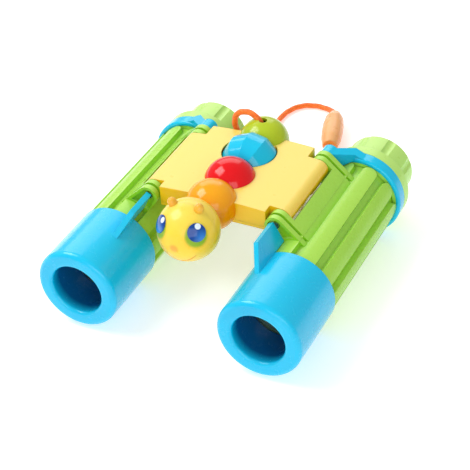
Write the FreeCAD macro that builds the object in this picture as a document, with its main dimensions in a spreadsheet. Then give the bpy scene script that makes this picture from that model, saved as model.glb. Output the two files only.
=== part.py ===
"""Folding toy binoculars with a grub riding on the bridge, as separate pieces.

Frame: millimetres, +Z up, +X to the right, the objectives look towards -Y.
The origin is on the surface that the toy lies on, in the middle of the toy.
"""
import FreeCAD, Part
import math
import os
import re

import Sketcher
from FreeCAD import Placement, Rotation, Vector

os.makedirs("parts", exist_ok=True)
doc = FreeCAD.newDocument("toy_binoculars")

# ---------------------------------------------------------------- driving dimensions
DIMENSIONS = {
    # barrels and their hinges
    "axis_x": 45.0, "axis_z": 21.0, "hinge_x": 32.0, "hinge_z": 44.8,
    "knuckle_radius": 4.8, "rod_radius": 1.8, "running_gap": 0.08,
    "front_y": -72.2, "rear_y": 72.2,
    # objective cap
    "cap_radius": 20.0, "cap_length": 37.8, "mouth_radius": 12.5, "sleeve_wall": 1.6,
    "cap_bore": 16.9, "cap_wall": 1.8, "cap_round": 2.6, "mouth_round": 1.8,
    "foot_width": 8.0, "foot_length": 5.0, "foot_height": 2.4,
    "fin_thickness": 2.6, "fin_top": 29.8,
    # barrel shell
    "shell_radius": 16.8, "shell_bore": 14.8, "rib_radius": 19.3, "rib_width": 7.4,
    "shell_front": -48.0, "shell_rear": 53.8, "rib_start": -34.35, "rib_end": 42.2,
    "lug_front_start": -24.3, "lug_front_end": -17.2, "lug_rear_start": 25.8,
    "lug_rear_end": 33.4, "saddle_clearance": 6.5, "saddle_x": 38.5,
    "slit_width": 1.5, "slit_depth": 2.6, "recess_depth": 1.6,
    # eyepiece
    "skirt_radius": 19.0, "skirt_bore": 17.1, "ring_radius": 21.0, "ring_start": 42.6,
    "ring_end": 48.6, "flange_end": 54.8, "cup_radius": 16.8, "eye_hole": 9.5,
    "lens_bore": 12.2, "scallop_radius": 3.6, "scallop_depth": 0.8, "cup_round": 2.2,
    "ear_start": 33.8, "ear_end": 40.2, "ear_radius": 4.0, "pin_radius": 1.2,
    # bridge
    "bridge_front": -21.9, "bridge_rear": 33.3, "bridge_crown": 1.6, "bridge_wall": 1.7,
    "bridge_bottom": 40.0, "parting_z": 41.7, "side_low_radius": 3.6, "notch_gap": 0.4,
    "notch_inner_x": 26.6, "screw_radius": 1.1, "screw_head_radius": 2.1,
    # focusing drive
    "spindle_z": 45.9, "spindle_radius": 1.8, "spindle_start": -17.5, "spindle_end": 31.0,
    "carriage_start": -10.0, "carriage_length": 7.0, "focus_travel": 5.0,
    # grub
    "head_y": -44.1, "head_z": 48.4, "head_radius": 14.2,
    "orange_y": -21.9, "orange_z": 47.0, "orange_radius": 12.0,
    "red_y": -2.7, "red_z": 46.4, "red_radius": 12.5,
    "wheel_y": 17.9, "wheel_radius": 13.4, "wheel_flat": 12.95, "wheel_gap": 0.65,
    "tail_y": 34.1, "tail_z": 47.0, "tail_radius": 12.1, "ball_wall": 1.7,
    "eye_radius": 3.5, "antenna_radius": 2.1,
    # neck cord
    "cord_radius": 1.5, "bead_radius": 5.6, "bead_length": 31.5, "bead_bore": 1.55,
}
RIB_COUNT = 10
FIRST_RIB_ANGLE = 68.0
SCALLOP_COUNT = 8
WHEEL_FACETS = 10

sheet = doc.addObject("Spreadsheet::Sheet", "Dims")
for row, (alias, value) in enumerate(DIMENSIONS.items(), start=1):
    sheet.set("A%d" % row, alias)
    sheet.set("B%d" % row, str(value))
    sheet.setAlias("B%d" % row, alias)
doc.recompute()


class Size:
    """Reads a driving dimension back from the sheet by its name."""

    def __getattr__(self, alias):
        return float(sheet.get(alias))


size = Size()
NODES = {}


def formula(text):
    """A formula in the sheet's names, written the way an expression needs it."""
    def cell(match):
        word = match.group(0)
        return "Dims." + word if word in DIMENSIONS else word
    return re.sub(r"[A-Za-z_][A-Za-z0-9_]*", cell, str(text))


def number(text):
    """The value of such a formula now."""
    def cell(match):
        word = match.group(0)
        return repr(DIMENSIONS[word]) if word in DIMENSIONS else word
    plain = re.sub(r"[A-Za-z_][A-Za-z0-9_]*", cell, str(text))
    return float(FreeCAD.Units.Quantity(plain).Value)


def bind(item, **sizes):
    for name, text in sizes.items():
        item.setExpression(name, formula(text))


def place(item, x="0", y="0", z="0", turn=None):
    """Put a piece at x, y, z, turned about the piece's own origin."""
    item.Placement = Placement(Vector(number(x), number(y), number(z)), turn or Rotation())
    for axis, text in zip("xyz", (x, y, z)):
        item.setExpression("Placement.Base." + axis, formula(text))
    return item


ALONG_Y = Rotation(Vector(1, 0, 0), -90)


def solid(kind, label, x="0", y="0", z="0", turn=None, **sizes):
    """A Part primitive whose sizes follow the sheet."""
    item = doc.addObject("Part::" + kind, label)
    bind(item, **sizes)
    return place(item, x, y, z, turn)


def rod_y(label, radius, start, length, x="0", z="0"):
    return solid("Cylinder", label, x, start, z, ALONG_Y, Radius=radius, Height=length)


def rod_z(label, radius, height, x="0", y="0", z="0"):
    return solid("Cylinder", label, x, y, z, Radius=radius, Height=height)


def ball(label, radius, y, z, x="0"):
    return solid("Sphere", label, x, y, z, Radius=radius)


def block(label, x, y, z, length, width, height, turn=None):
    return solid("Box", label, x, y, z, turn, Length=length, Width=width, Height=height)


def cut(label, base, *tools):
    tool = tools[0] if len(tools) == 1 else fuse(label + "_tools", *tools)
    item = doc.addObject("Part::Cut", label)
    item.Base = base
    item.Tool = tool
    return item


def fuse(label, *shapes):
    item = doc.addObject("Part::MultiFuse", label)
    item.Shapes = list(shapes)
    item.Refine = True
    return item


def common(label, *shapes):
    item = doc.addObject("Part::MultiCommon", label)
    item.Shapes = list(shapes)
    return item


def node(label, item):
    """Name the finished piece: its Label is its file's name."""
    item.Label = label
    NODES[label] = item
    return item


def mirrored(label, source):
    """The same piece on the other side of the toy."""
    item = doc.addObject("Part::Mirroring", label)
    item.Source = source
    item.Base = Vector(0, 0, 0)
    item.Normal = Vector(1, 0, 0)
    return node(label, item)


def origin_plane(body, role):
    return [f for f in body.Origin.OriginFeatures if f.Role == role][0]


def outline(body, plane, corners):
    """A closed outline of straight sides; each corner is a pair of formulas."""
    sketch = body.newObject("Sketcher::SketchObject", body.Name + "_outline")
    sketch.AttachmentSupport = [(origin_plane(body, plane), "")]
    sketch.MapMode = "FlatFace"
    points = [Vector(number(u), number(v), 0) for u, v in corners]
    for i, point in enumerate(points):
        sketch.addGeometry(Part.LineSegment(point, points[(i + 1) % len(points)]))
    for i, (u, v) in enumerate(corners):
        sketch.addConstraint(Sketcher.Constraint("Coincident", i, 2, (i + 1) % len(points), 1))
        for kind, text in (("DistanceX", u), ("DistanceY", v)):
            value = number(text)
            index = sketch.addConstraint(Sketcher.Constraint(kind, -1, 1, i, 1, value))
            if any(word in DIMENSIONS for word in re.findall(r"\w+", text)):
                sketch.setExpression("Constraints[%d]" % index, formula(text))
    return sketch


def turned(label, corners, rounds=(), x="0", z="0"):
    """A piece turned on a lathe: corners are (radius, y), turned about Y at x, z.

    rounds is a list of (radius of the edge, y of the edge, fillet radius)."""
    body = doc.addObject("PartDesign::Body", label)
    sketch = outline(body, "XY_Plane", corners)
    spin = body.newObject("PartDesign::Revolution", label + "_spin")
    spin.Profile = (sketch, [""])
    spin.ReferenceAxis = (sketch, ["V_Axis"])
    spin.Angle = 360.0
    doc.recompute()
    last = spin
    for number_of, (edge_r, edge_y, fillet_r) in enumerate(rounds):
        edges = ring_edges(last.Shape, number(edge_r), number(edge_y))
        soft = body.newObject("PartDesign::Fillet", "%s_round%d" % (label, number_of))
        soft.Base = (last, edges)
        bind(soft, Radius=fillet_r)
        doc.recompute()
        last = soft
    body.Tip = last
    return place(body, x, "0", z)


def ring_edges(shape, radius, y):
    """Names of the round edges of one radius at one y."""
    names = []
    for index, edge in enumerate(shape.Edges, start=1):
        box = edge.BoundBox
        flat = box.YLength < 1e-4 and abs(box.YMin - y) < 1e-3
        if flat and abs(box.XLength - 2 * radius) < 1e-3:
            names.append("Edge%d" % index)
    return names


def prism(label, corners, depth, x="0", y="0", z="0", turn=None):
    """An X-Z outline pushed along +Y by depth, from y."""
    body = doc.addObject("PartDesign::Body", label)
    sketch = outline(body, "XZ_Plane", corners)
    pad = body.newObject("PartDesign::Pad", label + "_pad")
    pad.Profile = (sketch, [""])
    bind(pad, Length=depth)
    pad.Reversed = True
    body.Tip = pad
    return place(body, x, y, z, turn)


def plan_prism(label, corners, low, high):
    """An X-Y outline standing from one height to another."""
    body = doc.addObject("PartDesign::Body", label)
    sketch = outline(body, "XY_Plane", corners)
    pad = body.newObject("PartDesign::Pad", label + "_pad")
    pad.Profile = (sketch, [""])
    bind(pad, Length="%s - (%s)" % (high, low))
    body.Tip = pad
    return place(body, z=low)


def rounded(label, base, radius, wanted):
    """Round the edges of a finished piece that the test `wanted` picks."""
    doc.recompute()
    item = doc.addObject("Part::Fillet", label)
    item.Base = base
    picked = [i for i, edge in enumerate(base.Shape.Edges, start=1) if wanted(edge)]
    item.Edges = [(i, radius, radius) for i in picked]
    return item


# ---------------------------------------------------------------- shared shapes
RADIAL_ANGLE = math.degrees(math.atan2(size.hinge_z - size.axis_z, size.hinge_x - size.axis_x))
FLANK_ANGLE = 47.0
LOWER_FLANK_ANGLE = 218.2


def off_hinge(distance, angle, along=0.0):
    """A corner at a distance from the hinge axis in a direction, then along the flank."""
    a = math.radians(angle)
    dx = distance * math.cos(a) + along * math.sin(a)
    dz = distance * math.sin(a) - along * math.cos(a)
    return "hinge_x + %.3f" % dx, "hinge_z + %.3f" % dz


def off_axis(radius, angle):
    """A corner at a radius from the barrel's axis."""
    a = math.radians(angle)
    return "axis_x + %.3f" % (radius * math.cos(a)), "axis_z + %.3f" % (radius * math.sin(a))


def arm(label, radius, start, length):
    """The right-hand arm from a hinge knuckle of this radius down into the barrel."""
    corners = [off_hinge(radius, FLANK_ANGLE), off_hinge(radius, FLANK_ANGLE, 16.2)]
    corners += [off_axis(15.8, angle) for angle in (92, 104, 116, 129)]
    corners += [off_hinge(radius, LOWER_FLANK_ANGLE)]
    wedge = prism(label + "_wedge", corners, length, y=start)
    knuckle = rod_y(label + "_knuckle", "%s" % radius, start, length, "hinge_x", "hinge_z")
    return fuse(label, wedge, knuckle)


def radial_fin(label, corners, thickness):
    """An outline of (height above the barrel's axis, y) standing on the barrel."""
    body = doc.addObject("PartDesign::Body", label)
    sketch = outline(body, "XY_Plane", corners)
    pad = body.newObject("PartDesign::Pad", label + "_pad")
    pad.Profile = (sketch, [""])
    bind(pad, Length=thickness)
    pad.SideType = "Symmetric"
    body.Tip = pad
    return place(body, "axis_x", "0", "axis_z", Rotation(Vector(0, 1, 0), -RADIAL_ANGLE))


def spoke(angle, radius):
    """A point at this radius round the barrel's axis, as numbers."""
    a = math.radians(angle)
    return size.axis_x + radius * math.cos(a), size.axis_z + radius * math.sin(a)


# ---------------------------------------------------------------- barrel shell
tube = turned("barrel_tube", [
    ("shell_bore", "shell_front"), ("shell_radius", "shell_front"),
    ("shell_radius", "shell_rear"), ("shell_bore", "shell_rear"),
], x="axis_x", z="axis_z")
rib_ring = turned("rib_ring", [
    ("shell_radius - 0.9", "rib_start"), ("rib_radius", "rib_start"),
    ("rib_radius", "rib_end"), ("shell_radius - 0.9", "rib_end"),
], x="axis_x", z="axis_z")
rib_slabs = []
for i in range(RIB_COUNT):
    angle = FIRST_RIB_ANGLE - 36.0 * i
    name = "rib%d" % i
    x, z = spoke(angle, size.shell_radius - 1.2)
    a = math.radians(angle)
    half = size.rib_width / 2
    flat = block(name + "_flat", "%.4f" % (x + half * math.sin(a)), "rib_start",
                 "%.4f" % (z - half * math.cos(a)),
                 "rib_radius - shell_radius + 2", "rib_end - rib_start - rib_width / 2",
                 "rib_width", Rotation(Vector(0, 1, 0), -angle))
    tip = solid("Cylinder", name + "_end", "%.4f" % x, "rib_end - rib_width / 2", "%.4f" % z,
                Rotation(Vector(0, 1, 0), 90 - angle),
                Radius="rib_width / 2", Height="rib_radius - shell_radius + 2")
    rib_slabs += [common(name, rib_ring, flat), common(name + "_tip", rib_ring, tip)]

saddle = prism("saddle", [
    ("saddle_x", "hinge_z + 0.5"), off_hinge(size.knuckle_radius, FLANK_ANGLE, 16.2),
    off_axis(15.8, 92), off_axis(15.8, 104), ("saddle_x", "axis_z + 14.4"),
], "lug_rear_start - lug_front_end", y="lug_front_end")

lugs = []
for where in ("front", "rear"):
    start, end = "lug_%s_start" % where, "lug_%s_end" % where
    cheek = "(%s - (%s) - slit_width) / 2" % (end, start)
    lugs.append(arm("lug_%s_a" % where, size.knuckle_radius, start, cheek))
    lugs.append(arm("lug_%s_b" % where, size.knuckle_radius, "%s - %s" % (end, cheek), cheek))
    lugs.append(arm("lug_%s_web" % where, size.knuckle_radius - 1.7, start,
                    "%s - (%s)" % (end, start)))
recess = arm("lug_recess", size.knuckle_radius - 1.4, "lug_front_start - 1", "recess_depth + 1")
recess_mask = solid("Cylinder", "recess_mask", "axis_x", "lug_front_start - 1", "axis_z",
                    ALONG_Y, Radius="rib_radius + 1", Height="recess_depth + 1")
recess_cut = cut("recess_cut", recess, recess_mask)
rod_bore = rod_y("rod_bore", "rod_radius + running_gap", "lug_front_start - 2",
                 "lug_rear_end - lug_front_start + 4", "hinge_x", "hinge_z")
shell_fused = fuse("barrel_fused", tube, saddle, *(rib_slabs + lugs))
shell = cut("barrel_shell_cut", shell_fused, recess_cut, rod_bore)
node("barrel_shell_right", shell)
mirrored("barrel_shell_left", shell)

# ---------------------------------------------------------------- objective end
cap_turned = turned("cap_turned", [
    ("mouth_radius", "front_y"), ("cap_radius", "front_y"),
    ("cap_radius", "front_y + cap_length"), ("cap_bore", "front_y + cap_length"),
    ("cap_bore", "-53"), ("cap_radius - cap_wall", "-54.4"),
    ("cap_radius - cap_wall", "front_y + 2.4"), ("mouth_radius + sleeve_wall", "front_y + 2.4"),
    ("mouth_radius + sleeve_wall", "-51.6"), ("mouth_radius", "-51.6"),
], rounds=[("cap_radius", "front_y", "cap_round"), ("mouth_radius", "front_y", "mouth_round")],
    x="axis_x", z="axis_z")
foot = block("cap_foot", "axis_x - foot_width / 2", "-40.5", "0",
             "foot_width", "foot_length", "foot_height")
fin = radial_fin("cap_fin", [
    ("cap_radius - 0.5", "-50.7"), ("fin_top", "-40.4"), ("fin_top", "-24.8"),
    ("cap_radius - 0.5", "-24.8"),
], "fin_thickness")
cap = fuse("cap_fused", cap_turned, foot, fin)
node("objective_cap_right", cap)
mirrored("objective_cap_left", cap)

lens_disc = rod_y("objective_disc", "cap_bore - 0.1", "-51.4", "2.5", "axis_x", "axis_z")
lens_ball = ball("objective_ball", "80", "-51.4 + 80", "axis_z", "axis_x")
lens = node("objective_lens_right", common("objective_lens", lens_disc, lens_ball))
mirrored("objective_lens_left", lens)
retainer = turned("objective_retainer", [
    ("shell_bore", "-48.8"), ("cap_bore - 0.2", "-48.8"), ("cap_bore - 0.2", "shell_front - 0.1"),
    ("shell_bore", "shell_front - 0.1"),
], x="axis_x", z="axis_z")
node("objective_retainer_right", retainer)
mirrored("objective_retainer_left", retainer)

# ---------------------------------------------------------------- eyepiece
housing = turned("housing_turned", [
    ("skirt_bore", "ring_start + 0.2"), ("skirt_radius", "ring_start + 0.2"),
    ("skirt_radius", "ring_end"), ("ring_radius", "ring_end"),
    ("ring_radius", "flange_end"), ("cup_radius", "flange_end"),
    ("cup_radius", "rear_y"), ("eye_hole + 4.2", "rear_y"), ("eye_hole", "rear_y - 7"),
    ("eye_hole", "59.8"), ("lens_bore", "59.8"), ("lens_bore", "54.4"),
    ("skirt_bore", "54.4"), ("skirt_bore", "46.2"), ("skirt_bore + 0.9", "46.2"),
    ("skirt_bore + 0.9", "43.8"), ("skirt_bore", "43.8"),
], rounds=[("cup_radius", "rear_y", "cup_round"), ("ring_radius", "flange_end", "0.8"),
           ("ring_radius", "ring_end", "0.5"), ("eye_hole + 4.2", "rear_y", "0.6")],
    x="axis_x", z="axis_z")
scallops = []
for i in range(SCALLOP_COUNT):
    a = math.radians(22.5 + 45 * i)
    reach = size.cup_radius - size.scallop_depth + size.scallop_radius
    scallops.append(rod_y("scallop%d" % i, "scallop_radius", "flange_end + 3.2",
                          "rear_y - flange_end",
                          "axis_x + %.4f" % (reach * math.cos(a)),
                          "axis_z + %.4f" % (reach * math.sin(a))))
housing_cut = cut("housing_cut", housing, *scallops)
node("eyepiece_housing_right", housing_cut)
mirrored("eyepiece_housing_left", housing_cut)

ring_turned = turned("ring_turned", [
    ("skirt_radius", "ring_start"), ("ring_radius", "ring_start"),
    ("ring_radius", "ring_end"), ("skirt_radius", "ring_end"),
], rounds=[("ring_radius", "ring_start", "1.2")], x="axis_x", z="axis_z")
ear_strip = plan_prism("ear_strip", [
    ("hinge_x - 6", "ear_start"), ("hinge_x + 2.6", "ear_start"),
    ("axis_x - 2", "ring_start + 0.5"), ("axis_x + 3", "ring_start + 0.8"),
    ("axis_x + 3", "ring_end - 0.6"), ("axis_x - 3.4", "ring_end - 0.6"),
    ("hinge_x + 3", "ear_end"), ("hinge_x - 6", "ear_end"),
], "25", "60")
ear_plate = prism("ear_plate", [
    off_hinge(4.0, 50), off_axis(20.9, 84), off_axis(19.2, 96), off_axis(19.2, 124),
    off_axis(20.6, 146), off_hinge(4.0, 190),
], "ring_end - ear_start", y="ear_start")
ear_boss = rod_y("ear_boss", "ear_radius", "ear_start", "ring_end - ear_start",
                 "hinge_x", "hinge_z")
rib_room = rod_y("rib_room", "rib_radius + 0.4", "ear_start - 2", "ring_start - ear_start + 2",
                 "axis_x", "axis_z")
skirt_room = rod_y("skirt_room", "skirt_radius", "ear_start - 2", "20", "axis_x", "axis_z")
ear_blank = common("ear_full", ear_strip, fuse("ear_blank", ear_plate, ear_boss))
ear = cut("ear", ear_blank, rib_room, skirt_room)
ear_bore = rod_y("ear_bore", "pin_radius + running_gap", "ear_start - 1", "ear_end - ear_start + 2",
                 "hinge_x", "hinge_z")
ring_full = cut("ring_full", fuse("ring_fused", ring_turned, ear), ear_bore)
node("eyepiece_ring_right", ring_full)
mirrored("eyepiece_ring_left", ring_full)

guide = turned("eyepiece_guide", [
    ("shell_radius + 0.06", "43.8"), ("skirt_bore + 0.9", "43.8"),
    ("skirt_bore + 0.9", "46.2"), ("shell_radius + 0.06", "46.2"),
], x="axis_x", z="axis_z")
node("eyepiece_guide_right", guide)
mirrored("eyepiece_guide_left", guide)
eye_disc = rod_y("eye_disc", "lens_bore", "56.3", "3.5", "axis_x", "axis_z")
eye_ball = ball("eye_ball", "40", "59.8 - 40", "axis_z", "axis_x")
eye_lens = node("eyepiece_lens_right", common("eyepiece_lens", eye_disc, eye_ball))
mirrored("eyepiece_lens_left", eye_lens)
eye_ring = turned("eyepiece_retainer", [
    ("eye_hole + 0.3", "54.5"), ("lens_bore", "54.5"), ("lens_bore", "56.3"),
    ("eye_hole + 0.3", "56.3"),
], x="axis_x", z="axis_z")
node("eyepiece_retainer_right", eye_ring)
mirrored("eyepiece_retainer_left", eye_ring)

# ---------------------------------------------------------------- bridge covers
bridge_length = "bridge_rear - bridge_front"


def bridge_blank(label):
    """The whole outside of the bridge, crowned on top and round at both sides."""
    slab = block(label + "_slab", "-hinge_x", "bridge_front", "bridge_bottom",
                 "2 * hinge_x", bridge_length, "hinge_z - bridge_bottom + knuckle_radius + 1.4")
    crown = solid("Cylinder", label + "_crown", "0", "bridge_front - 1",
                  "hinge_z + knuckle_radius + 1.4 - 366", ALONG_Y,
                  Radius="366", Height=bridge_length + " + 2")
    sides = [rod_y(label + "_side%d" % i, "knuckle_radius", "bridge_front", bridge_length,
                   x, "hinge_z") for i, x in enumerate(("hinge_x", "-hinge_x"))]
    full = fuse(label + "_full", common(label + "_mid", slab, crown), *sides)
    corners = []
    for i, (x, box_x) in enumerate((("hinge_x", "hinge_x"), ("-hinge_x", "-hinge_x - 8"))):
        under = block(label + "_under%d" % i, box_x, "bridge_front - 1", "bridge_bottom - 1",
                      "8", "9 - bridge_front + 1", "hinge_z - bridge_bottom + 1")
        core = rod_y(label + "_core%d" % i, "side_low_radius", "bridge_front - 2", "60",
                     x, "hinge_z")
        corners.append(cut(label + "_low_side%d" % i, under, core))
    for i, (start, length) in enumerate((
            ("bridge_front - 1", "lug_front_end + notch_gap - bridge_front + 1"),
            ("lug_rear_start - notch_gap", "bridge_rear - lug_rear_start + notch_gap + 1"))):
        for j, x in enumerate(("notch_inner_x", "-notch_inner_x - 15")):
            corners.append(block(label + "_corner%d%d" % (i, j), x, start,
                                 "bridge_bottom - 5", "15", length, "25"))
    return cut(label, full, *corners)


def wheel_space(label, gap):
    """What the focus wheel needs, bigger by gap: a ball hollowed at both sides."""
    middle = ball(label + "_ball", "wheel_radius + %s" % gap, "wheel_y", "spindle_z")
    front = ball(label + "_front", "red_radius + 0.9 - (%s)" % gap, "red_y", "spindle_z")
    rear = ball(label + "_rear", "tail_radius + 1.5 - (%s)" % gap, "tail_y", "spindle_z")
    return cut(label, middle, front, rear)


blank = bridge_blank("bridge_blank")
wall_front = "bridge_front + bridge_wall"
inner_length = "bridge_rear - bridge_front - 2 * bridge_wall"
cavity = fuse(
    "bridge_cavity",
    block("cavity_wide", "-hinge_x", "lug_front_end + notch_gap + bridge_wall",
          "bridge_bottom + bridge_wall", "2 * hinge_x",
          "lug_rear_start - lug_front_end - 2 * notch_gap - 2 * bridge_wall", "6.3"),
    block("cavity_long", "-notch_inner_x + bridge_wall", wall_front,
          "bridge_bottom + bridge_wall", "2 * (notch_inner_x - bridge_wall)",
          inner_length, "6.3"),
    block("cavity_high", "-7", wall_front, "bridge_bottom + bridge_wall", "14",
          inner_length, "7.7"),
    *[rod_y("cavity_side%d" % i, "side_low_radius - 0.8",
            "lug_front_end + notch_gap + bridge_wall",
            "lug_rear_start - lug_front_end - 2 * notch_gap - 2 * bridge_wall", x, "hinge_z")
      for i, x in enumerate(("hinge_x", "-hinge_x"))])
rod_bores = [rod_y("cover_bore%d" % i, "rod_radius + running_gap", "bridge_front - 2",
                   bridge_length + " + 4", x, "hinge_z")
             for i, x in enumerate(("hinge_x", "-hinge_x"))]
SCREWS = [("-16", "-15.6"), ("16", "-15.6"), ("-20", "21"), ("20", "21")]
posts, shanks, seats = [], [], []
for i, (x, y) in enumerate(SCREWS):
    posts.append(rod_z("post%d" % i, "3", "7.6", x, y, "parting_z"))
    shanks.append(rod_z("hole%d" % i, "screw_radius", "9", x, y, "bridge_bottom - 1"))
    seats.append(rod_z("seat%d" % i, "screw_head_radius", "1.9", x, y, "bridge_bottom - 1"))
bearings = [block("bearing%d" % i, "-4.2", start, "parting_z", "8.4", length, "8.2")
            for i, (start, length) in enumerate((("-16.2", "2"), ("28.8", "2.8")))]
bush_bore = rod_y("bush_bore", "spindle_radius + 1.2", "-16.2", "28.8 + 16.2 + 2.8",
                  "0", "spindle_z")
upper_half = block("upper_half", "-60", "bridge_front - 5", "parting_z", "120",
                   bridge_length + " + 10", "30")
lower_half = block("lower_half", "-60", "bridge_front - 5", "parting_z - 30", "120",
                   bridge_length + " + 10", "30")
top_shell = common("top_shell", cut("bridge_walls", blank, cavity), upper_half)
space = wheel_space("wheel_space", "wheel_gap")
top_cover = cut("top_cover_cut", fuse("top_full", top_shell, *(posts + bearings)),
                space, bush_bore, *(rod_bores + shanks))
low_cover = cut("low_cover_cut", common("low_shell", blank, lower_half), space,
                *(shanks + seats))
node("bridge_top_cover", top_cover)
node("bridge_bottom_cover", low_cover)
screws = []
for i, (x, y) in enumerate(SCREWS):
    screws.append(rod_z("shank%d" % i, "screw_radius", "7.8", x, y, "bridge_bottom + 0.1"))
    screws.append(rod_z("screw_head%d" % i, "screw_head_radius", "0.78", x, y,
                        "bridge_bottom + 0.1"))
node("bridge_screws", fuse("screws", *screws))

# ---------------------------------------------------------------- focusing drive
facets = []
for i in range(WHEEL_FACETS // 2):
    a = 40 + 360 / WHEEL_FACETS * i
    run = Vector(-math.sin(math.radians(a)), 0, math.cos(math.radians(a)))
    facets.append(solid("Cylinder", "wheel_facet%d" % i, "%.4f" % (-25 * run.x), "wheel_y",
                        "spindle_z + %.4f" % (-25 * run.z), Rotation(Vector(0, 0, 1), run),
                        Radius="wheel_flat", Height="50"))
wheel_blank = common("wheel_blank", wheel_space("wheel_body", "0.25"), *facets)
wheel_bore = rod_y("wheel_bore", "spindle_radius", "wheel_y - 20", "40", "0", "spindle_z")
node("focus_wheel", cut("wheel_cut", wheel_blank, wheel_bore))
spindle = rod_y("spindle", "spindle_radius", "spindle_start", "spindle_end - spindle_start",
                "0", "spindle_z")
node("focus_spindle", spindle)
for label, start, length in (("front", "-16.2", "2"), ("rear", "28.8", "2.8")):
    outer = rod_y("bush_outer_" + label, "spindle_radius + 1.2", start, length,
                  "0", "spindle_z")
    inner = rod_y("bush_inner_" + label, "spindle_radius + running_gap", start, length,
                  "0", "spindle_z")
    node("spindle_bush_" + label, cut("bush_" + label, outer, inner))

bar = block("carriage_bar", "-hinge_x", "carriage_start", "hinge_z - 2.4",
            "2 * hinge_x", "carriage_length", "4.8")
nut = block("carriage_nut", "-5.5", "carriage_start", "hinge_z - 2.5", "11",
            "carriage_length", "6.6")
bosses = [rod_y("carriage_boss%d" % i, "rod_radius + 0.6", "carriage_start",
                "carriage_length", x, "hinge_z")
          for i, x in enumerate(("hinge_x", "-hinge_x"))]
nut_bore = rod_y("nut_bore", "spindle_radius + running_gap", "carriage_start - 1",
                 "carriage_length + 2", "0", "spindle_z")
rod_seats = [rod_y("rod_seat%d" % i, "rod_radius", "carriage_start - 1",
                   "carriage_length + 2", x, "hinge_z")
             for i, x in enumerate(("hinge_x", "-hinge_x"))]
node("focus_carriage", cut("carriage_cut", fuse("carriage_full", bar, nut, *bosses),
                           nut_bore, *rod_seats))
rod_thick = rod_y("rod_thick", "rod_radius", "-23.4", "ear_start + 23.35",
                  "hinge_x", "hinge_z")
rod_thin = rod_y("rod_thin", "pin_radius", "ear_start - 0.5", "ear_end - ear_start + 1.6",
                 "hinge_x", "hinge_z")
rod = node("focus_rod_right", fuse("focus_rod", rod_thick, rod_thin))
mirrored("focus_rod_left", rod)
clip_disc = rod_y("clip_disc", "pin_radius + 1.4", "ear_end + 0.05", "0.8", "hinge_x", "hinge_z")
clip_hole = rod_y("clip_hole", "pin_radius", "ear_end - 1", "3", "hinge_x", "hinge_z")
clip = node("rod_clip_right", cut("rod_clip", clip_disc, clip_hole))
mirrored("rod_clip_left", clip)

# ---------------------------------------------------------------- grub
bridge_block = bridge_blank("bridge_outside")
head_ball = ball("head_ball", "head_radius", "head_y", "head_z")
head_hollow = ball("head_hollow", "head_radius - ball_wall", "head_y", "head_z")
head_front_half = block("head_front_half", "-20", "head_y - 20", "head_z - 20", "40", "20", "40")
head_rear_half = block("head_rear_half", "-20", "head_y", "head_z - 20", "40", "20", "40")
peg_bore = rod_y("peg_bore", "2", "-32", "4", "0", "head_z - 0.8")


def out_of_head(azimuth, lift):
    """Turns +Z to point out of the head; azimuth 0 looks along -Y."""
    a, e = math.radians(azimuth), math.radians(lift)
    aim = Vector(math.sin(a) * math.cos(e), -math.cos(a) * math.cos(e), math.sin(e))
    return Rotation(Vector(0, 0, 1), aim)


antenna_aim = out_of_head(82, 64)
stalk = solid("Cylinder", "antenna_stalk", "0", "head_y", "head_z", antenna_aim,
              Radius="antenna_radius", Height="head_radius + 1.1")
tip_at = antenna_aim.multVec(Vector(0, 0, size.head_radius + 1.1))
knob = ball("antenna_knob", "antenna_radius", "head_y + %.4f" % tip_at.y,
            "head_z + %.4f" % tip_at.z, "%.4f" % tip_at.x)
head_skin = ball("head_skin", "head_radius - ball_wall", "head_y", "head_z")
antenna = node("antenna_right", cut("antenna", fuse("antenna_full", stalk, knob), head_skin))
mirrored("antenna_left", antenna)
stalk_holes = [solid("Cylinder", "stalk_hole%d" % i, "0", "head_y", "head_z",
                     out_of_head(side * 82, 64), Radius="antenna_radius",
                     Height="head_radius + 3")
               for i, side in enumerate((1, -1))]
for where, half in (("front", head_front_half), ("rear", head_rear_half)):
    shell_half = cut("head_%s_wall" % where, common("head_%s_ball" % where, head_ball, half),
                     head_hollow)
    node("head_%s_shell" % where, cut("head_" + where, shell_half, peg_bore, *stalk_holes))
eye_skin = cut("eye_skin", ball("eye_outside", "head_radius + 0.5", "head_y", "head_z"),
               ball("eye_inside", "head_radius", "head_y", "head_z"))
eye_core = solid("Cylinder", "eye_core", "0", "head_y", "head_z", out_of_head(45.5, 28),
                 Radius="eye_radius + 0.6", Height="head_radius + 2")
eye = node("head_eye_right", common("head_eye", eye_skin, eye_core))
mirrored("head_eye_left", eye)

orange_ball = ball("orange_ball", "orange_radius", "orange_y", "orange_z")
orange_inner = cut("orange_inner", ball("orange_hollow", "orange_radius - ball_wall",
                                        "orange_y", "orange_z"),
                   ball("neck_wall", "head_radius + ball_wall", "head_y", "head_z"))
node("segment_orange", cut("orange_cut", orange_ball, head_ball, bridge_block,
                           orange_inner, peg_bore))
peg_stem = rod_y("peg_stem", "2", "-31.6", "3.2", "0", "head_z - 0.8")
node("neck_peg", peg_stem)

red_ball = ball("red_ball", "red_radius", "red_y", "red_z")
red_hollow = ball("red_hollow", "red_radius - ball_wall", "red_y", "red_z")
above_plate = block("above_plate", "-20", "red_y - 20", "hinge_z", "40", "40", "30")
node("segment_red", common("red_cut", cut("red_wall", red_ball, bridge_block, red_hollow,
                                          orange_ball), above_plate))

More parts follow.
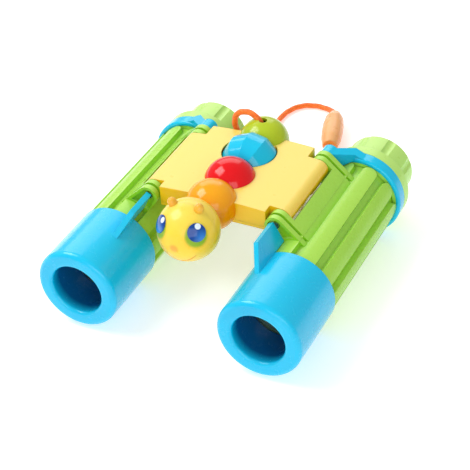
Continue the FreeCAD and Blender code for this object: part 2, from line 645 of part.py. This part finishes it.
tail_ball = ball("tail_ball", "tail_radius", "tail_y", "tail_z")
tail_hollow = ball("tail_hollow", "tail_radius - ball_wall", "tail_y", "tail_z")
cord_lean = Rotation(Vector(1, 0, 0), 13.9)
cord_hole = solid("Cylinder", "cord_hole", "0", "39.4 + 2.4", "36 - 9.7", cord_lean,
                  Radius="cord_radius + 0.45", Height="45")
node("segment_tail", cut("tail_cut", tail_ball, bridge_block, tail_hollow, cord_hole))

# ---------------------------------------------------------------- neck cord
CORD_UPPER = [
    (0.0, 37.1, 45.4), (0.0, 34.2, 56.2), (-6.5, 34.8, 61.8), (-14.8, 35.6, 59.3),
    (-17.3, 36.8, 51.0), (-14.6, 39.6, 41.0), (-8.6, 41.2, 30.5), (-2.8, 44.8, 20.0),
    (3.4, 51.4, 12.2), (6.1, 60.0, 8.7), (6.0, 68.0, 8.2),
]
CORD_LOWER = [
    (6.0, 77.4, 1.9), (7.4, 86.5, 2.6), (7.0, 95.1, 5.6), (-4.1, 130.1, 5.6),
    (-10.0, 138.2, 1.9), (-19.5, 140.4, 1.6), (-28.6, 136.8, 1.6), (-33.4, 126.0, 1.6),
    (-32.4, 110.0, 1.6), (-22.6, 97.0, 1.6), (-12.4, 88.4, 2.2), (-6.6, 80.0, 11.6),
    (-4.4, 67.0, 18.6), (-1.4, 52.0, 24.0), (-0.4, 42.4, 32.0), (0.0, 37.1, 45.4),
]


def cord_wire(points):
    """Straight runs joined by arcs tangent to both, and the arcs' radii."""
    points = [Vector(*point) for point in points]
    parts, radii = [], []
    start = points[0]
    for before, here, after in zip(points, points[1:], points[2:]):
        back, on = before - here, after - here
        half_turn = (math.pi - back.getAngle(on)) / 2
        reach = 0.45 * min(back.Length, on.Length)
        radius = reach / math.tan(half_turn)
        back.normalize()
        on.normalize()
        first, last = here + back * reach, here + on * reach
        inward = back + on
        inward.normalize()
        middle = here + inward * (radius / math.cos(half_turn) - radius)
        parts.append(Part.LineSegment(start, first).toShape())
        parts.append(Part.Arc(first, middle, last).toShape())
        start = last
        radii.append(radius)
    parts.append(Part.LineSegment(start, points[-1]).toShape())
    return Part.Wire(parts), radii


def cord_tube(label, points):
    """A round cord along a route, as one solid."""
    wire, radii = cord_wire(points)
    start = wire.Edges[0]
    circle = Part.Circle(start.valueAt(start.FirstParameter),
                         start.tangentAt(start.FirstParameter), size.cord_radius)
    section = Part.Wire([circle.toShape()])
    shape = wire.makePipeShell([section], True, False)
    ideal = math.pi * size.cord_radius ** 2 * wire.Length
    print(label, "length %.1f mm" % wire.Length,
          "smallest bend %.1f mm" % min(radii), "volume/ideal %.3f" % (shape.Volume / ideal))
    item = doc.addObject("Part::Feature", label)
    item.Shape = shape
    return node(label, item)


cord_tube("neck_cord_upper", CORD_UPPER)
cord_tube("neck_cord_lower", CORD_LOWER)

hank_box = block("hank_box", "-7.5", "34", "0.4", "15", "44", "9.4")
hank_soft = rounded("hank_soft", hank_box, 3.6, lambda edge: True)
tie_space = block("tie_space", "-9", "45", "-1", "18", "3.2", "12")
tie_core = block("tie_core", "-6.6", "41.5", "1.3", "13.2", "10", "7.6")
node("cord_hank", cut("hank_cut", hank_soft, cut("tie_bite", tie_space, tie_core)))
tie_core_soft = block("tie_core_soft", "-6.6", "41.5", "1.3", "13.2", "10", "7.6")
tie_band = block("tie_band", "-7.9", "45", "0", "15.8", "3.2", "10.2")
tie_soft = rounded("tie_soft", tie_band, 1.2, lambda edge: edge.BoundBox.YLength > 1)
node("cord_tie", cut("tie", tie_soft, tie_core_soft))

bead_aim = Rotation(Vector(0, 1, 0), Vector(-0.302, 0.9533, 0))
bead = turned("bead", [
    ("bead_bore", "-bead_length / 2"), ("3.9", "-bead_length / 2"), ("5.2", "-9"),
    ("bead_radius", "-3"), ("bead_radius", "4"), ("4.9", "10.5"), ("3.1", "bead_length / 2"),
    ("bead_bore", "bead_length / 2"),
], rounds=[("3.9", "-bead_length / 2", "1"), ("3.1", "bead_length / 2", "0.8")])
place(bead, "1.0", "114.0", "bead_radius", bead_aim)
node("cord_bead", bead)

# ---------------------------------------------------------------- checks and export
doc.recompute()
faults = [item.Name for item in doc.Objects
          if "Invalid" in item.State or "Error" in item.State]
for label, item in NODES.items():
    shape = item.Shape
    if shape.isNull() or not shape.isValid() or not shape.Solids:
        faults.append(label)
if faults:
    raise RuntimeError("faulty pieces: " + ", ".join(faults))
low = Vector(1e9, 1e9, 1e9)
high = Vector(-1e9, -1e9, -1e9)
for label, item in NODES.items():
    box = item.Shape.BoundBox
    low = Vector(min(low.x, box.XMin), min(low.y, box.YMin), min(low.z, box.ZMin))
    high = Vector(max(high.x, box.XMax), max(high.y, box.YMax), max(high.z, box.ZMax))
    item.Shape.exportStep("parts/%s.step" % label)
    print("%-26s %d solid(s) %9.1f mm3" % (label, len(item.Shape.Solids), item.Shape.Volume))
print("box", low, high)
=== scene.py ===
"""Looks of the folding toy binoculars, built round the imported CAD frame. Metres, +Z up."""
import math

import bmesh
import bpy
from mathutils import Matrix, Vector


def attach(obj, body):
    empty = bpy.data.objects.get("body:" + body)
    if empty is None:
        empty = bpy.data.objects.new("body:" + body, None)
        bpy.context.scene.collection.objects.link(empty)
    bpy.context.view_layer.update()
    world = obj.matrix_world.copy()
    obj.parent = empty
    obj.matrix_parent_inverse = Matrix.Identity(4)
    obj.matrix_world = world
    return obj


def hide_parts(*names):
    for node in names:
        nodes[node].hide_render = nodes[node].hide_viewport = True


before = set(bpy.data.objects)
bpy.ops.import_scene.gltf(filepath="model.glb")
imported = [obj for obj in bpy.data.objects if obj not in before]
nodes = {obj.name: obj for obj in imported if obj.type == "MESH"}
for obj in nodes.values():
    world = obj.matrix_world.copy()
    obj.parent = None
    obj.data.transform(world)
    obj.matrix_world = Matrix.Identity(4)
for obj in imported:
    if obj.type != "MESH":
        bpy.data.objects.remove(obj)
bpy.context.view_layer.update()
scene = bpy.context.scene

# ---------------------------------------------------------------- driving sizes, as in the CAD
MM = 0.001
BARREL_X, BARREL_Z = 45 * MM, 21 * MM
MOUTH_REACH = 12.8 * MM
HEAD = Vector((0, -44.1, 48.4)) * MM
HEAD_R = 14.2 * MM
EYE_R = HEAD_R + 0.5 * MM
EYE_WAY = 45.5
EYE_LIFT = 28
CORD_D = 3.0 * MM
CORD_STEP = 0.3 * MM


# ---------------------------------------------------------------- shader helpers
def srgb(red, green, blue):
    """A colour given as 0-255 screen values, as the linear values that a shader takes."""
    out = []
    for value in (red, green, blue):
        v = value / 255
        out.append(v / 12.92 if v <= 0.04045 else ((v + 0.055) / 1.055) ** 2.4)
    return tuple(out) + (1.0,)


class Shader:
    """A Principled material with short helpers for the nodes round it."""

    def __init__(self, name, roughness=0.2, **sockets):
        self.material = bpy.data.materials.new(name)
        self.material.use_nodes = True
        self.tree = self.material.node_tree
        self.bsdf = self.tree.nodes["Principled BSDF"]
        self.bsdf.inputs["Roughness"].default_value = roughness
        for socket, value in sockets.items():
            self.bsdf.inputs[socket.replace("_", " ")].default_value = value
        coordinates = self.add("ShaderNodeTexCoord")
        self.where = coordinates.outputs["Object"]

    def add(self, kind, **settings):
        made = self.tree.nodes.new(kind)
        for name, value in settings.items():
            setattr(made, name, value)
        return made

    def link(self, out, into):
        self.tree.links.new(out, into)

    def noise(self, scale, detail=2.0, roughness=0.5, stretch=None):
        texture = self.add("ShaderNodeTexNoise")
        texture.inputs["Scale"].default_value = scale
        texture.inputs["Detail"].default_value = detail
        texture.inputs["Roughness"].default_value = roughness
        vector = self.where
        if stretch:
            mapping = self.add("ShaderNodeMapping")
            mapping.inputs["Scale"].default_value = stretch
            self.link(vector, mapping.inputs["Vector"])
            vector = mapping.outputs["Vector"]
        self.link(vector, texture.inputs["Vector"])
        return texture.outputs["Fac"]

    def ramp(self, factor, *stops):
        ramp = self.add("ShaderNodeValToRGB")
        elements = ramp.color_ramp.elements
        elements[0].position, elements[0].color = stops[0]
        elements[1].position, elements[1].color = stops[-1]
        for position, color in stops[1:-1]:
            elements.new(position).color = color
        self.link(factor, ramp.inputs["Fac"])
        return ramp.outputs["Color"]

    def math(self, operation, a, b=0.0, clamp=False):
        made = self.add("ShaderNodeMath", operation=operation, use_clamp=clamp)
        for socket, value in zip(made.inputs, (a, b)):
            if isinstance(value, (int, float)):
                socket.default_value = value
            else:
                self.link(value, socket)
        return made.outputs[0]

    def mix(self, factor, a, b):
        made = self.add("ShaderNodeMix", data_type="RGBA")
        for socket, value in ((made.inputs[0], factor), (made.inputs[6], a), (made.inputs[7], b)):
            if isinstance(value, (int, float, tuple)):
                socket.default_value = value
            else:
                self.link(value, socket)
        return made.outputs[2]

    def base(self, color):
        self.link(color, self.bsdf.inputs["Base Color"])

    def bump(self, height, strength, distance, normal=None):
        made = self.add("ShaderNodeBump")
        made.inputs["Strength"].default_value = strength
        made.inputs["Distance"].default_value = distance
        self.link(height, made.inputs["Height"])
        if normal:
            self.link(normal, made.inputs["Normal"])
        return made.outputs["Normal"]


def scaled(color, factor):
    """The colour lighter or darker by a factor."""
    return tuple(min(1.0, c * factor) for c in color[:3]) + (1.0,)


def plastic(name, color, shade=None, gloss=0.16, grain=0.05, glow=0.05, edge=0.35, painted_top_light=None):
    """Moulded glossy plastic: clouded colour, flow waves, fine grain and soft edges.

    top is the paler colour mixed onto faces that look up: painted light from above; gloss is the
    roughness."""
    made = Shader(name, roughness=gloss, Specular_IOR_Level=0.28, Coat_Weight=0.3,
                  Coat_Roughness=0.09, Subsurface_Weight=glow, Subsurface_Scale=0.004)
    made.bsdf.inputs["Subsurface Radius"].default_value = (1.0, 0.6, 0.3)
    shade = shade or scaled(color, 0.86)
    cloud = made.noise(38, 3.0)
    tint = made.ramp(cloud, (0.3, shade), (0.5, color), (0.75, scaled(color, 1.05)))
    # Painted light: faces that look up are mixed towards the paler top colour.
    if painted_top_light:
        level = made.add("ShaderNodeSeparateXYZ")
        made.link(made.add("ShaderNodeNewGeometry").outputs["Normal"], level.inputs[0])
        top_light_weight = made.math("SUBTRACT", level.outputs["Z"], 0.15)
        top_light_weight = made.math("DIVIDE", top_light_weight, 0.75, clamp=True)
        tint = made.mix(top_light_weight, tint, painted_top_light)
    made.base(tint)
    rough = made.ramp(made.noise(260, 4.0, 0.6), (0.25, (gloss * 0.8,) * 3 + (1,)),
                      (0.8, (gloss * 1.7,) * 3 + (1,)))
    made.link(rough, made.bsdf.inputs["Roughness"])
    soft = made.add("ShaderNodeBevel", samples=4)
    soft.inputs["Radius"].default_value = edge * MM
    waves = made.bump(made.noise(55, 1.0), 0.12, 0.0006, soft.outputs["Normal"])
    fine = made.bump(made.noise(2200, 3.0), grain, 0.0001, waves)
    made.link(fine, made.bsdf.inputs["Normal"])
    return made


def near(made, point, radius, blur=0.08):
    """1 inside a ball round the point, 0 outside, with a soft rim."""
    away = made.add("ShaderNodeVectorMath", operation="DISTANCE")
    made.link(made.where, away.inputs[0])
    away.inputs[1].default_value = point
    ratio = made.math("DIVIDE", away.outputs["Value"], radius)
    over = made.math("SUBTRACT", 1 + blur, ratio)
    return made.math("DIVIDE", over, 2 * blur, clamp=True)


def tint_of(made):
    """What feeds the material's base colour now."""
    return made.bsdf.inputs["Base Color"].links[0].from_socket


def paint_bore_shade(made, bore_shade):
    """Painted shade: deepen the colour within a barrel's bore, from just behind the mouth's rim.
    """
    split = made.add("ShaderNodeSeparateXYZ")
    made.link(made.where, split.inputs[0])
    across = made.math("SUBTRACT", made.math("ABSOLUTE", split.outputs["X"]), BARREL_X)
    above = made.math("SUBTRACT", split.outputs["Z"], BARREL_Z)
    squares = made.math("ADD", made.math("POWER", across, 2.0), made.math("POWER", above, 2.0))
    inside = made.math("LESS_THAN", made.math("SQRT", squares), MOUTH_REACH)
    behind_rim = made.math("ADD", split.outputs["Y"], 71 * MM)
    depth = made.math("DIVIDE", behind_rim, 5 * MM, clamp=True)
    made.base(made.mix(made.math("MULTIPLY", inside, depth), tint_of(made), bore_shade))


def steel(name, color, roughness):
    """Drawn steel: fine lines along Y."""
    made = Shader(name, roughness=roughness, Metallic=1.0)
    lines = made.noise(420, 3.0, 0.6, stretch=(1, 0.04, 1))
    made.base(made.ramp(lines, (0.3, scaled(color, 0.8)), (0.7, color)))
    made.link(made.bump(lines, 0.2, 0.00005), made.bsdf.inputs["Normal"])
    return made


def clear_lens(name, cool, pale):
    """Clear plastic lens with a faint cloud of colour."""
    made = Shader(name, roughness=0.03, Transmission_Weight=0.92, IOR=1.49,
                  Coat_Weight=0.6, Coat_Roughness=0.02)
    made.base(made.ramp(made.noise(60), (0.3, cool), (0.7, pale)))
    return made


def cord_yarn(name):
    """Twisted yarn: fibres, and painted shade in the creases between the plies."""
    made = Shader(name, roughness=0.62, Sheen_Weight=0.35, Sheen_Roughness=0.4)
    strand = made.ramp(made.noise(900, 4.0, 0.65), (0.25, srgb(240, 92, 4)),
                       (0.5, srgb(255, 118, 22)), (0.8, srgb(255, 150, 56)))
    # Painted shade: a deeper colour where the surface is hollow, in the creases between the
    # plies.
    crease_shade = made.ramp(made.add("ShaderNodeNewGeometry").outputs["Pointiness"],
                       (0.44, (0, 0, 0, 1)), (0.52, (1, 1, 1, 1)))
    made.base(made.mix(crease_shade, srgb(206, 58, 0), strand))
    made.link(made.bump(made.noise(2600, 3.0), 0.5, 0.00015), made.bsdf.inputs["Normal"])
    return made


# ---------------------------------------------------------------- the toy's materials
# The top colours below are painted light on faces that look up.
barrel_green = plastic("barrel_green", srgb(148, 208, 40), srgb(138, 200, 32), gloss=0.24,
                       painted_top_light=srgb(178, 230, 88))
eyepiece_green = plastic("eyepiece_green", srgb(172, 226, 96), srgb(158, 216, 78), gloss=0.26,
                         painted_top_light=srgb(196, 238, 124))
cap_blue = plastic("cap_blue", srgb(0, 186, 228), srgb(0, 174, 218), gloss=0.2,
                   painted_top_light=srgb(24, 200, 240))
# Painted shade inside the cap's bore.
paint_bore_shade(cap_blue, srgb(0, 92, 146))
ring_blue = plastic("ring_blue", srgb(0, 190, 232), srgb(0, 176, 224), gloss=0.14, edge=0.6,
                    painted_top_light=srgb(0, 200, 238))
wheel_blue = plastic("wheel_blue", srgb(0, 190, 230), srgb(0, 178, 222), gloss=0.1, edge=0.3,
                     painted_top_light=srgb(20, 200, 238))
bridge_yellow = plastic("bridge_yellow", srgb(250, 200, 16), srgb(244, 190, 8), gloss=0.3,
                        edge=0.7, glow=0.12, painted_top_light=srgb(254, 222, 108))
bridge_amber = plastic("bridge_amber", srgb(246, 198, 16), srgb(238, 188, 8), gloss=0.28,
                       edge=0.7, glow=0.12)
antenna_orange = plastic("antenna_orange", srgb(244, 184, 62), srgb(236, 168, 44), gloss=0.22)
segment_orange = plastic("segment_orange", srgb(255, 158, 0), srgb(252, 144, 0), gloss=0.13,
                         glow=0.15, painted_top_light=srgb(255, 172, 20))
segment_red = plastic("segment_red", srgb(232, 2, 16), srgb(214, 0, 10), gloss=0.12)
segment_green = plastic("segment_green", srgb(168, 192, 0), srgb(150, 176, 0), gloss=0.14,
                        painted_top_light=srgb(186, 206, 40))
bead_peach = plastic("bead_peach", srgb(250, 152, 76), srgb(246, 140, 60), gloss=0.26, glow=0.2,
                     painted_top_light=srgb(255, 186, 124))
inner_plastic = plastic("inner_plastic", srgb(236, 232, 220), gloss=0.4)


rod_steel = steel("rod_steel", srgb(205, 207, 212), 0.24)
screw_steel = steel("screw_steel", srgb(188, 190, 196), 0.34)
lens_clear = clear_lens("lens_clear", srgb(196, 214, 240), srgb(216, 228, 246))
cord_fibre = cord_yarn("cord_fibre")


# ---------------------------------------------------------------- the grub's printed face
def on_head(azimuth, lift, radius=HEAD_R):
    """A point on the head; azimuth 0 looks along -Y."""
    a, e = math.radians(azimuth), math.radians(lift)
    return HEAD + radius * Vector((math.sin(a) * math.cos(e), -math.cos(a) * math.cos(e),
                                   math.sin(e)))


def paint_face(made):
    """Green eye sockets with a soft olive rim, and a small nose."""
    look = tint_of(made)
    for side in (-1, 1):
        socket_at = on_head(side * 43.5, 21)
        rim = near(made, socket_at, 5.7 * MM, 0.16)
        look = made.mix(made.math("MULTIPLY", rim, 0.55), look, srgb(214, 178, 0))
        core = near(made, socket_at + Vector((0, 0, 0.2 * MM)), 5.0 * MM, 0.12)
        look = made.mix(core, look, srgb(140, 178, 0))
    nose = near(made, on_head(0, -3), 1.9 * MM, 0.35)
    made.base(made.mix(made.math("MULTIPLY", nose, 0.8), look, srgb(240, 158, 40)))


def paint_eyes(made):
    """A dark rim round each iris, a painted reflection that makes the lower part lighter, and a
    white glint.
    """
    look = tint_of(made)
    for side in (-1, 1):
        iris = near(made, on_head(side * EYE_WAY, EYE_LIFT, EYE_R), 2.9 * MM, 0.28)
        look = made.mix(iris, srgb(0, 66, 150), look)
    for side in (-1, 1):
        # Painted reflection: a lighter blue on the lower part of each eye.
        lower_reflection = near(made, on_head(side * EYE_WAY + 8, 17, EYE_R), 2.6 * MM, 0.7)
        look = made.mix(made.math("MULTIPLY", lower_reflection, 0.6), look, srgb(60, 150, 235))
        glint = near(made, on_head(side * EYE_WAY + 5, 38, EYE_R), 1.35 * MM, 0.1)
        look = made.mix(glint, look, srgb(236, 248, 255))
    made.base(look)


head_yellow = plastic("head_yellow", srgb(255, 206, 52), srgb(252, 198, 40), gloss=0.26,
                      glow=0.2, painted_top_light=srgb(255, 224, 88))
paint_face(head_yellow)
eye_print = plastic("eye_print", srgb(0, 112, 214), srgb(0, 100, 202), gloss=0.1, edge=0.2)
paint_eyes(eye_print)

# ---------------------------------------------------------------- materials onto the CAD pieces
SLOTS = {
    "barrel_shell": barrel_green, "objective_cap": cap_blue, "objective_lens": lens_clear,
    "objective_retainer": inner_plastic, "eyepiece_housing": eyepiece_green,
    "eyepiece_ring": ring_blue, "eyepiece_guide": inner_plastic, "eyepiece_lens": lens_clear,
    "eyepiece_retainer": inner_plastic, "bridge_top_cover": bridge_yellow,
    "bridge_bottom_cover": bridge_amber, "bridge_screws": screw_steel,
    "focus_wheel": wheel_blue, "focus_spindle": rod_steel, "spindle_bush": inner_plastic,
    "focus_carriage": inner_plastic, "focus_rod": rod_steel, "rod_clip": screw_steel,
    "head_eye": eye_print, "head_": head_yellow, "antenna": antenna_orange,
    "neck_peg": inner_plastic, "segment_orange": segment_orange, "segment_red": segment_red,
    "segment_tail": segment_green, "cord_bead": bead_peach,
}


def paint(item, made):
    for place in item.material_slots:
        place.material = made.material


for name, item in nodes.items():
    for start, made in SLOTS.items():
        if name.startswith(start):
            paint(item, made)
            break

# ---------------------------------------------------------------- neck cord
ARCH = [
    (0.0, 37.1, 45.4), (0.0, 34.2, 56.2), (-6.5, 34.8, 61.8), (-14.8, 35.6, 59.3),
    (-17.3, 36.8, 51.0), (-14.6, 39.6, 41.0), (-8.6, 41.2, 30.5), (-2.8, 44.8, 20.0),
    (3.4, 51.4, 12.2),
]
FLOOR_LOOP = [
    (6.0, 77.4, 1.9), (7.4, 86.5, 2.6), (7.0, 95.1, 5.6), (-4.1, 130.1, 5.6),
    (-10.0, 138.2, 1.9), (-19.5, 140.4, 1.6), (-28.6, 136.8, 1.6), (-33.4, 126.0, 1.6),
    (-32.4, 110.0, 1.6), (-22.6, 97.0, 1.6), (-12.4, 88.4, 2.2), (-6.6, 80.0, 11.6),
    (-4.4, 67.0, 18.6), (-1.4, 52.0, 24.0), (-0.4, 42.4, 32.0), (0.0, 37.1, 45.4),
]
HANK_START = (6.1, 60.0, 8.7)
HANK_RADIUS = 6.0
HANK_ENDS = (41.8, 70.2)
HANK_MIDDLE = 56.0
HANK_LAYERS = (8.25, 5.1, 1.95)
BEND_STEPS = 6


def hank_turns():
    """Flat laps on each other: back along +X's side, round, forward along -X's side, round."""
    points = [HANK_START]
    step_angle = math.pi / BEND_STEPS
    bulge = HANK_RADIUS / math.cos(step_angle / 2)
    for lap, level in enumerate(HANK_LAYERS):
        below = HANK_LAYERS[lap + 1] if lap + 1 < len(HANK_LAYERS) else None
        for end, first in ((HANK_ENDS[1], 0), (HANK_ENDS[0], 180)):
            if first and below is None:
                break
            for step in range(BEND_STEPS):
                a = math.radians(first) + (step + 0.5) * step_angle
                points.append((bulge * math.cos(a), end + bulge * math.sin(a), level))
            if first == 0:
                points.append((-HANK_RADIUS, HANK_MIDDLE, level))
            elif below is not None:
                points.append((HANK_RADIUS, HANK_MIDDLE, (level + below) / 2))
    return points


def curve_from(name, points):
    """A smooth curve with the route's points as its control points."""
    data = bpy.data.curves.new(name, "CURVE")
    data.dimensions = "3D"
    data.resolution_u = 12
    spline = data.splines.new("NURBS")
    spline.points.add(len(points) - 1)
    for point, target in zip(points, spline.points):
        target.co = tuple(c * MM for c in point) + (1.0,)
    spline.order_u = 3
    spline.use_endpoint_u = True
    item = bpy.data.objects.new(name, data)
    scene.collection.objects.link(item)
    return item


def centreline(points):
    """Points along the smooth curve of a route."""
    item = curve_from("route", points)
    bpy.context.view_layer.update()
    mesh = bpy.data.meshes.new_from_object(item)
    line = [v.co.copy() for v in mesh.vertices]
    bpy.data.objects.remove(item)
    bpy.data.meshes.remove(mesh)
    return line


def resample(line, step):
    """The same line with its points one step apart."""
    out, carry = [line[0]], 0.0
    for a, b in zip(line, line[1:]):
        span = (b - a).length
        while carry + span >= step:
            t = (step - carry) / span
            a = a.lerp(b, t)
            out.append(a)
            span = (b - a).length
            carry = 0.0
        carry += span
    out.append(line[-1])
    return out


def twisted_cord(name, line, diameter, plies=3, lay_length=0.0066, lobe_depth=0.17, sides=24):
    """A twisted cord: a lobed section that turns as it follows the line."""
    radius = diameter / 2
    verts, faces = [], []
    tangent = (line[1] - line[0]).normalized()
    across = tangent.orthogonal().normalized()
    travelled = 0.0
    for i, point in enumerate(line):
        ahead = line[min(i + 1, len(line) - 1)]
        behind = line[max(i - 1, 0)]
        tangent = (ahead - behind).normalized()
        across = (across - tangent * across.dot(tangent)).normalized()
        up = tangent.cross(across)
        if i:
            travelled += (point - line[i - 1]).length
        turn = 2 * math.pi * travelled / lay_length
        for k in range(sides):
            a = 2 * math.pi * k / sides
            lobe = abs(math.cos(plies * (a - turn / plies) / 2))
            reach = radius * (1 - lobe_depth + lobe_depth * lobe ** 0.6)
            verts.append(point + across * (reach * math.cos(a)) + up * (reach * math.sin(a)))
        if i:
            row, last = i * sides, (i - 1) * sides
            for k in range(sides):
                faces.append((last + k, last + (k + 1) % sides, row + (k + 1) % sides, row + k))
    faces.append(tuple(reversed(range(sides))))
    faces.append(tuple(range(len(verts) - sides, len(verts))))
    mesh = bpy.data.meshes.new(name)
    mesh.from_pydata(verts, [], faces)
    mesh.shade_smooth()
    item = bpy.data.objects.new(name, mesh)
    scene.collection.objects.link(item)
    return item


route = ARCH + hank_turns() + FLOOR_LOOP
line = resample(centreline(route), CORD_STEP)
cord = twisted_cord("neck_cord", line, CORD_D)
cord.data.materials.append(cord_fibre.material)
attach(cord, "bridge")
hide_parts("neck_cord_upper", "neck_cord_lower", "cord_hank")
paint(nodes["cord_tie"], cord_fibre)

# ---------------------------------------------------------------- smile
RIBBON_SECTION = ((-0.5, -0.3), (-0.42, 0.5), (0, 1.0), (0.42, 0.5), (0.5, -0.3))
SMILE_STROKES = 28
SMILE_LIFT = 0.12 * MM


def smile_line():
    """Directions on the head and widths along the smile, thin at its ends."""
    centres, widths = [], []
    for i in range(SMILE_STROKES + 1):
        t = i / SMILE_STROKES * 2 - 1
        centres.append((40 * t, -42 + 24 * t * t))
        widths.append(MM * (0.25 + 0.75 * (1 - t * t) ** 0.5))
    return centres, widths


def ribbon_on_head(name, centres, widths, lift):
    """A thin raised stroke on the head along (azimuth, lift) centres."""
    mesh = bmesh.new()
    rows = []
    points = [on_head(a, e) for a, e in centres]
    for i, (point, width) in enumerate(zip(points, widths)):
        out = (point - HEAD).normalized()
        along = (points[min(i + 1, len(points) - 1)] - points[max(i - 1, 0)]).normalized()
        side = out.cross(along).normalized()
        row = []
        for across, height in RIBBON_SECTION:
            corner = point + side * (across * width)
            corner = HEAD + (corner - HEAD).normalized() * (HEAD_R + height * lift)
            row.append(mesh.verts.new(corner))
        rows.append(row)
    last = len(RIBBON_SECTION) - 1
    for a, b in zip(rows, rows[1:]):
        for k in range(last):
            mesh.faces.new((a[k], a[k + 1], b[k + 1], b[k]))
        mesh.faces.new((a[last], a[0], b[0], b[last]))
    mesh.faces.new(list(reversed(rows[0])))
    mesh.faces.new(rows[-1])
    bmesh.ops.recalc_face_normals(mesh, faces=mesh.faces)
    data = bpy.data.meshes.new(name)
    mesh.to_mesh(data)
    mesh.free()
    data.shade_smooth()
    item = bpy.data.objects.new(name, data)
    scene.collection.objects.link(item)
    return item


smile_ink = plastic("smile_ink", srgb(240, 158, 24), srgb(232, 140, 14), gloss=0.3, edge=0.1)
smile = ribbon_on_head("smile", *smile_line(), SMILE_LIFT)
smile.data.materials.append(smile_ink.material)
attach(smile, "bridge")

# ---------------------------------------------------------------- floor and light
FLOOR_REACH = 3.0
FLOOR_DROP = 0.2 * MM
FLOOR_GLOW = 0.42
SKY_STRENGTH = 0.46
LIGHT_AIM = Vector((0, 0, 0.03))


def white_table():
    """A large white floor that glows a little, so that shadows stay pale."""
    r = FLOOR_REACH
    mesh = bpy.data.meshes.new("floor")
    mesh.from_pydata([(-r, -r, 0), (r, -r, 0), (r, r, 0), (-r, r, 0)], [], [(0, 1, 2, 3)])
    item = bpy.data.objects.new("floor", mesh)
    item.location.z = -FLOOR_DROP
    scene.collection.objects.link(item)
    paint = Shader("floor_paint", roughness=0.6)
    paint.base(paint.ramp(paint.noise(6), (0.3, (0.90, 0.90, 0.90, 1)),
                          (0.7, (0.93, 0.93, 0.93, 1))))
    paint.bsdf.inputs["Emission Color"].default_value = (1, 1, 1, 1)
    paint.bsdf.inputs["Emission Strength"].default_value = FLOOR_GLOW
    mesh.materials.append(paint.material)
    return item


def white_sky():
    world = bpy.data.worlds.new("studio")
    world.use_nodes = True
    background = world.node_tree.nodes["Background"]
    background.inputs["Color"].default_value = (1, 1, 1, 1)
    background.inputs["Strength"].default_value = SKY_STRENGTH
    scene.world = world


def softbox(name, at, width, height, power, turn=0.0):
    """An area light that looks at the toy, turned round its own axis by some degrees."""
    data = bpy.data.lights.new(name, "AREA")
    data.shape = "RECTANGLE"
    data.size, data.size_y = width, height
    data.energy = power
    item = bpy.data.objects.new(name, data)
    item.location = at
    look = (LIGHT_AIM - Vector(at)).to_track_quat("-Z", "Y").to_matrix()
    item.rotation_euler = (look @ Matrix.Rotation(math.radians(turn), 3, "Z")).to_euler()
    scene.collection.objects.link(item)


floor = white_table()
white_sky()
softbox("key", (-0.52, -0.12, 0.74), 0.55, 0.42, 4.6, 30)
softbox("front", (0.45, -0.8, 0.42), 1.0, 0.5, 3.6)
softbox("back", (-0.40, 0.76, 0.60), 1.0, 0.6, 3.0)

# ---------------------------------------------------------------- camera
TARGET = Vector((3.21, -7.86, 21.0)) * MM
AZIMUTH, ELEVATION, ROLL = math.radians(28.34), math.radians(36.58), math.radians(-3.95)
DISTANCE = 0.664


def photo_camera():
    """The camera that the photo was taken with, as solved from the toy's outlines."""
    backward = Vector((math.sin(AZIMUTH) * math.cos(ELEVATION),
                       -math.cos(AZIMUTH) * math.cos(ELEVATION), math.sin(ELEVATION)))
    right = Vector((math.cos(AZIMUTH), math.sin(AZIMUTH), 0))
    up = backward.cross(right)
    rolled_right = right * math.cos(ROLL) + up * math.sin(ROLL)
    rolled_up = up * math.cos(ROLL) - right * math.sin(ROLL)
    data = bpy.data.cameras.new("camera")
    data.lens = 108.87
    data.sensor_width = 36.0
    data.clip_start = 0.01
    item = bpy.data.objects.new("camera", data)
    turn = Matrix((rolled_right, rolled_up, backward)).transposed()
    item.matrix_world = Matrix.Translation(TARGET + backward * DISTANCE) @ turn.to_4x4()
    scene.collection.objects.link(item)
    return item


scene.camera = photo_camera()
scene.view_settings.view_transform = "Standard"
